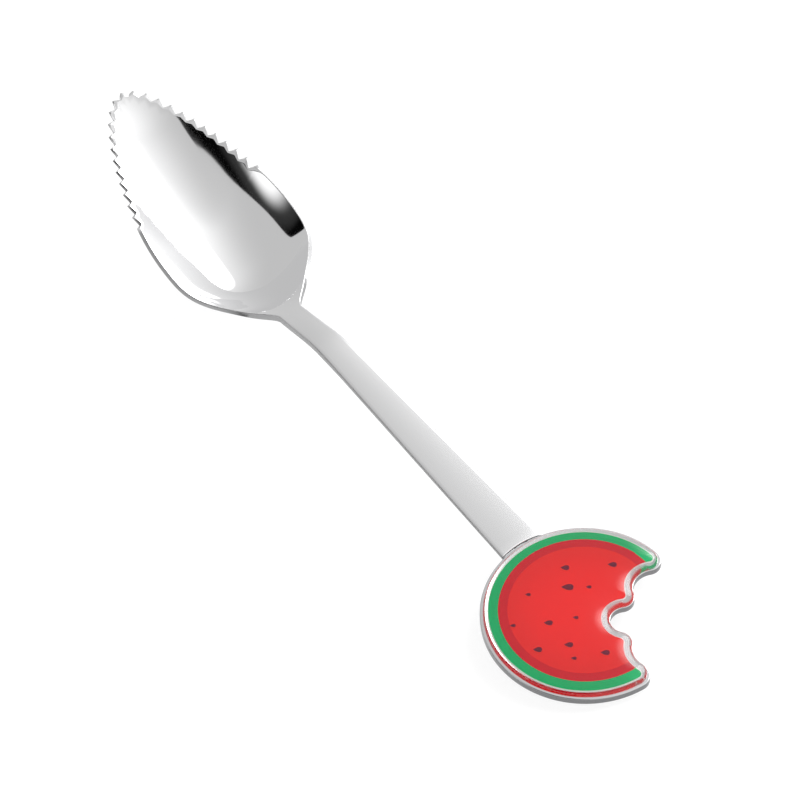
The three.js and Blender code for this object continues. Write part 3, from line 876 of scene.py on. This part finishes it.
# %% Film
PRINT_INSET = 1.5
LABEL_MARGIN = 0.12
RIND_OUTER = DISC_RADIUS - PRINT_INSET


def slab(name, outline, low, high, finish, node):
    made = piece(name, *stack([(outline, low), (outline, high)]), finish.material, stands_for=[node])
    return made


label_outline = bitten_outline(RIND_OUTER + LABEL_MARGIN, PRINT_INSET - LABEL_MARGIN)
slab("label_film_fine", label_outline, LABEL_LOW, LABEL_LOW + LABEL_THICKNESS, label_white, "label_film")
print(len(label_outline), "points round the film")

# %% Fill the print with triangles
PRINT_WELD = 0.0001


def inside(points, outline):
    """Whether each point lies inside an outline, by counting the edges to its right."""
    a, b = outline, np.roll(outline, -1, axis=0)
    x, y = points[:, :1], points[:, 1:]
    spans = (a[:, 1] > y) != (b[:, 1] > y)
    rise_of_edge = np.where(b[:, 1] == a[:, 1], 1, b[:, 1] - a[:, 1])
    crossing = a[:, 0] + (y - a[:, 1]) / rise_of_edge * (b[:, 0] - a[:, 0])
    return (spans & (x < crossing)).sum(axis=1) % 2 == 1


def cut_by_circles(outline, radii):
    """Triangles that fill an outline, with none across any of the circles."""
    loops = [outline] + [arc((0, 0), r, 0, 2 * math.pi - WELD, 1, OUTER_STEPS) for r in radii]
    edges = []
    for loop in loops:
        start = len(edges)
        edges += [(start + i, start + (i + 1) % len(loop)) for i in range(len(loop))]
    corners = [Vector(p) for p in np.concatenate(loops)]
    flat, _, triangles, *_ = delaunay_2d_cdt(corners, edges, [], 0, PRINT_WELD)
    flat = np.array(flat)
    triangles = np.array(triangles)
    return flat, triangles[inside(flat[triangles].mean(axis=1), outline)]


RIND_WIDTH = 1.35
BAND_WIDTH = 1.4
RIND_INNER = RIND_OUTER - RIND_WIDTH
FLESH = RIND_INNER - BAND_WIDTH
flat, triangles = cut_by_circles(bitten_outline(RIND_OUTER, PRINT_INSET), (RIND_INNER, FLESH))
print(len(triangles), "triangles in the print")


# %% Inks
def patch(flat, triangles, low, high):
    """A thin solid over some triangles: its top, its underside and the wall round it."""
    n = len(flat)
    edges = {(int(t[k]), int(t[(k + 1) % 3])) for t in triangles for k in range(3)}
    rim = [(a, b) for a, b in edges if (b, a) not in edges]
    points = np.concatenate([np.column_stack([flat, np.full(n, z)]) for z in (low, high)])
    top = [tuple(int(i) + n for i in t) for t in triangles]
    under = [tuple(int(i) for i in t[::-1]) for t in triangles]
    return points, top + under + [(a, b, b + n, a + n) for a, b in sorted(rim)]


reach = np.hypot(*flat[triangles].mean(axis=1).T)
for node, finish, slot, inner, outer in (
    ("rind_green", ink_green, "ink_green", RIND_INNER, DISC_RADIUS),
    ("rind_band_red", ink_dark_red, "ink_dark_red", FLESH, RIND_INNER),
    ("flesh_red", ink_red, "ink_red", 0, FLESH),
):
    of_this_ink = triangles[(reach >= inner) & (reach < outer)]
    printed = patch(flat, of_this_ink, INK_LOW, INK_LOW + INK_THICKNESS)
    piece(node + "_fine", *printed, finish.material, stands_for=[node])
    print(node, len(of_this_ink), "triangles")

# %% [markdown]
# ## Pips
# A pip is round at one end and drawn to a point at the other, and all twelve point the same way. They come
# in three sizes. One curve gives the shape, and a list gives each pip's place on the disc, as shares of its
# radius, and its size. Scattering them at random would be less work, but a print has them in set places.

# %% Print the pips
PIP_SIZES = {"large": (1.85, 1.2), "medium": (1.3, 0.95), "small": (0.8, 0.6)}
PIP_WAIST = 0.62
PIP_DIRECTION = math.radians(53.6)
PIP_STEPS = 12
PIPS = [
    (-0.496, 0.139, "medium"), (-0.258, 0.527, "medium"), (-0.299, 0.021, "large"),
    (-0.179, 0.186, "small"), (-0.452, -0.334, "small"), (0.032, -0.128, "small"),
    (-0.073, -0.373, "medium"), (-0.247, -0.662, "small"), (0.114, -0.636, "medium"),
    (0.243, -0.368, "medium"), (0.518, -0.146, "medium"), (0.395, -0.421, "small"),
]


def pip_outline(length, width):
    t = np.arange(PIP_STEPS) / PIP_STEPS
    waist = width * PIP_WAIST
    x = length / 2 * ((1 - t) ** 3 + 3 * t * (1 - t) ** 2 - t ** 3)
    y = 3 * waist * (t * (1 - t) ** 2 + t ** 2 * (1 - t))
    side = np.stack([x, y], axis=1)
    back = np.concatenate([[[-length / 2, 0]], side[:0:-1] * (1, -1)])
    return np.concatenate([side, back])


turn = np.array(Matrix.Rotation(PIP_DIRECTION, 2))
for i, (x, y, kind) in enumerate(PIPS, start=1):
    outline = pip_outline(*PIP_SIZES[kind]) @ turn.T + DISC_RADIUS * np.array([x, y])
    slab(f"pip_{i:02d}", outline, SEED_LOW, SEED_LOW + INK_THICKNESS, ink_seed, f"seed_{i:02d}")
print(len(PIPS), "pips")

# %% [markdown]
# ## The resin dome
# Clear resin is poured over the print. It runs nearly to the edge of the bite and stops a little short of
# the plate's rim, where its own skin holds it. A scaled half ball would be too steep in the middle. Here a
# quarter ellipse makes the steep shoulder, and a wider one added to it carries on into a gentle crown. The
# underside wets the plate, with the film inside the resin, so the inks are seen with no air between.

# %% Build the dome
DOME_WETTING = 0.01
DOME_LOW = PLATE_THICKNESS - DOME_WETTING
DOME_EDGE_INSET = 0.5
DOME_BITE_INSET = 0.1
DOME_EDGE_HEIGHT = 0.1
SHOULDER_SIZE = (1.2, 0.45)
CROWN_SIZE = (5, 1)
DOME_STEPS = 30


def quarter(share):
    """Height of a quarter circle that starts upright at 0 and is level from 1 on."""
    return math.sqrt(1 - (1 - min(share, 1)) ** 2)


def dome_height(inset):
    """Height of the shoulder and the crown together, this far in from the edge."""
    return sum(high * quarter(inset / wide) for wide, high in (SHOULDER_SIZE, CROWN_SIZE))


dome_rings = [(bitten_outline(DISC_RADIUS - DOME_EDGE_INSET, DOME_BITE_INSET), DOME_LOW)]
for angle in np.linspace(0, math.pi / 2, DOME_STEPS + 1):
    inset = CROWN_SIZE[0] * (1 - math.cos(angle))
    outline = bitten_outline(DISC_RADIUS - DOME_EDGE_INSET - inset, DOME_BITE_INSET + inset)
    dome_rings.append((outline, PLATE_THICKNESS + LAYER_GAP + DOME_EDGE_HEIGHT + dome_height(inset)))
dome = piece("resin_dome_fine", *stack(dome_rings), clear_resin.material, stands_for=["resin_dome"])
print("dome", len(dome.data.polygons), "faces")

# %% [markdown]
# ## Bond
# The bond between tab and plate is hidden in the pocket. It could get a lumpy mesh, but nobody sees it, so
# the frame's own piece keeps its place and only takes the dull finish.

# %% Finish the bond
tab_bond = frame["nodes"]["tab_bond"]
tab_bond.data.materials.clear()
tab_bond.data.materials.append(bond.material)
print("bond keeps", len(tab_bond.data.polygons), "faces")

# %% [markdown]
# ## Floor
# The spoon lies on a pale sheet. A lit sheet alone would look grey, and a plain white one would lose the
# shadow. So the floor is pale and matt, and half of what the camera, the metal and the resin see of it is an
# even white, while the other half is lit and keeps the soft shadow.

# %% Lay the floor
FLOOR_SIZE = 6
FLOOR_DROP = 0.0002
FLOOR_COLOUR = (0.78, 0.78, 0.78, 1)
FLOOR_ROUGHNESS = 0.9
FLOOR_WHITE = 1.25
FLOOR_EVEN = 0.5


def seen_directly(tree):
    """1 for rays from the camera, off metal and through resin, and 0 for light that falls on things."""
    kinds = [tree.node("ShaderNodeLightPath", output=kind) for kind in (
        "Is Camera Ray", "Is Glossy Ray", "Is Transmission Ray",
    )]
    return (kinds[0] + kinds[1] + kinds[2]).step(0, 1)


bpy.ops.mesh.primitive_plane_add(size=FLOOR_SIZE, location=(0, 0, -FLOOR_DROP))
floor = bpy.context.object
floor.name = "floor"
floor_finish = Finish("floor", Base_Color=FLOOR_COLOUR, Roughness=FLOOR_ROUGHNESS)
lit = Value(floor_finish, floor_finish.shader.outputs[0])
white = floor_finish.node("ShaderNodeEmission", {"Color": (1, 1, 1, 1), "Strength": FLOOR_WHITE})
even = seen_directly(floor_finish) * FLOOR_EVEN
shown = floor_finish.node("ShaderNodeMixShader", {0: even, 1: lit, 2: white})
floor_finish.feed(floor_finish.nodes["Material Output"].inputs["Surface"], shown)
floor.data.materials.append(floor_finish.material)
print("floor", FLOOR_SIZE, "m wide")

# %% [markdown]
# ## Light
# Polished steel shows its surroundings, so the room is part of the picture. Lamps and cards could stand
# round the spoon as objects, but their edges and places are quicker to set as directions in the world. It is
# an even pale room that grows white towards one side. On the other side hangs a black card, with the glow
# of a small soft lamp in it, and a bright soft box shines on the disc. Matt things see an even level instead.

# %% Pale walls
ROOM_WHITE_SIDE = (0.65, 0.76, 0.0)
ROOM_GREY = 0.545
ROOM_GROWTH = 0.485
ROOM_GREY_ENDS = -0.62
ROOM_WHITE = 1.35
ROOM_FRONT_SIDE = (1.0, 0.0, 0.0)
ROOM_FRONT = (0.1, 0.26)
ROOM_FRONT_FALL = 0.21

room = bpy.data.worlds.new("room")
bpy.context.scene.world = room
tree = Tree(room)
towards = tree.node("ShaderNodeTexCoord", output="Generated")


def along(direction):
    """How far a ray points this way, from -1 to 1."""
    return tree.node(
        "ShaderNodeVectorMath", {0: towards, 1: tuple(direction)}, output="Value", operation="DOT_PRODUCT",
    )


front = along(ROOM_FRONT_SIDE).step(*ROOM_FRONT)
side = (along(ROOM_WHITE_SIDE) - ROOM_FRONT_FALL * front - ROOM_GREY_ENDS).at_least(0.0)
pale = (ROOM_GREY + ROOM_GROWTH * side * side).at_most(ROOM_WHITE)
print("walls from", ROOM_GREY, "to", ROOM_WHITE)

# %% Black card
CARD_EDGES = (
    ((-0.271, -0.36, 0.893), 0.866, 0.04),
    ((-0.755, 0.352, 0.553), 0.385, 0.12),
    ((0.0, 1.0, 0.0), -0.49, 0.06),
)
CARD_SOFTNESS = 0.08
CARD_BLACK = 0.002

past_edges = 0.0
for direction, edge_at, softening in CARD_EDGES:
    past = (along(direction) - (edge_at - softening)).at_least(0.0) * (1 / softening)
    past_edges = past * past + past_edges
card = past_edges.step(1 + CARD_SOFTNESS, 1 - CARD_SOFTNESS)
print("card with", len(CARD_EDGES), "edges")

# %% Lamp and soft box
LAMP_BEARING = math.radians(-95.5)
LAMP_HEIGHT = math.radians(20)
LAMP_WIDTHS = (math.radians(17.5), math.radians(6.5))
LAMP_GLOW = 1.15
HALO_WIDTHS = (math.radians(24), math.radians(15))
HALO_GLOW = 0.035
SOFTBOX_SIDE = (-0.1, 0.85, 0.52)
SOFTBOX_EDGES = (0.87, 0.97)
SOFTBOX_GLOW = 4.5
MATT_LEVEL = 1.0

lamp_side = (
    math.cos(LAMP_HEIGHT) * math.cos(LAMP_BEARING), math.cos(LAMP_HEIGHT) * math.sin(LAMP_BEARING),
    math.sin(LAMP_HEIGHT),
)
lamp = along(lamp_side).step(*(math.cos(width) for width in LAMP_WIDTHS))
halo = along(lamp_side).step(*(math.cos(width) for width in HALO_WIDTHS))
glow = LAMP_GLOW * lamp * lamp + HALO_GLOW * halo + CARD_BLACK
softbox = along(SOFTBOX_SIDE).step(*SOFTBOX_EDGES)
studio = tree.blend(card, pale + SOFTBOX_GLOW * softbox, glow)
camera_ray = tree.node("ShaderNodeLightPath", output="Is Camera Ray")
scattered = tree.node("ShaderNodeLightPath", output="Diffuse Depth")
level = tree.blend((camera_ray + scattered).step(0, 1), studio, MATT_LEVEL)
background = tree.nodes["Background"]
tree.feed(background.inputs["Color"], (1, 1, 1, 1))
tree.feed(background.inputs["Strength"], level)
print("lamp at", [round(part, 3) for part in lamp_side])

# %% [markdown]
# ## Camera
# The picture was taken from well above, with a long lens that hardly makes the near end look larger. The
# camera could be turned by hand until the picture looks right. Here its place, its aim and its roll are
# numbers, found by matching the rings of the print and the pairs of teeth. Light may bounce often, because
# polished steel and resin pass it on many times before it dies.

# %% Camera and bounces
CAMERA_PLACE = Vector((319.554, -169.359, 375.724)) * MM
CAMERA_AIM = Vector((5.477, 2.609, 5.0)) * MM
CAMERA_ROLL = math.radians(8.06)
CAMERA_LENS = 144
CAMERA_SENSOR = 36
SURFACE_BOUNCES = 12
ALL_BOUNCES = 24

camera_data = bpy.data.cameras.new("camera")
camera_data.lens = CAMERA_LENS
camera_data.sensor_width = CAMERA_SENSOR
camera = bpy.data.objects.new("camera", camera_data)
bpy.context.collection.objects.link(camera)
look = (CAMERA_AIM - CAMERA_PLACE).to_track_quat("-Z", "Y").to_matrix().to_4x4()
camera.matrix_world = Matrix.Translation(CAMERA_PLACE) @ look @ Matrix.Rotation(-CAMERA_ROLL, 4, "Z")
bpy.context.scene.camera = camera
bpy.context.scene.view_settings.view_transform = "Standard"
light_paths = bpy.context.scene.cycles
light_paths.blur_glossy = 0.0
light_paths.diffuse_bounces = SURFACE_BOUNCES
light_paths.glossy_bounces = SURFACE_BOUNCES
light_paths.max_bounces = ALL_BOUNCES
print("camera", round((CAMERA_AIM - CAMERA_PLACE).length, 3), "m away")

# %% [markdown]
# ## Finish
# The script ends by bringing the view layer up to date.

# %% Finish
bpy.context.view_layer.update()
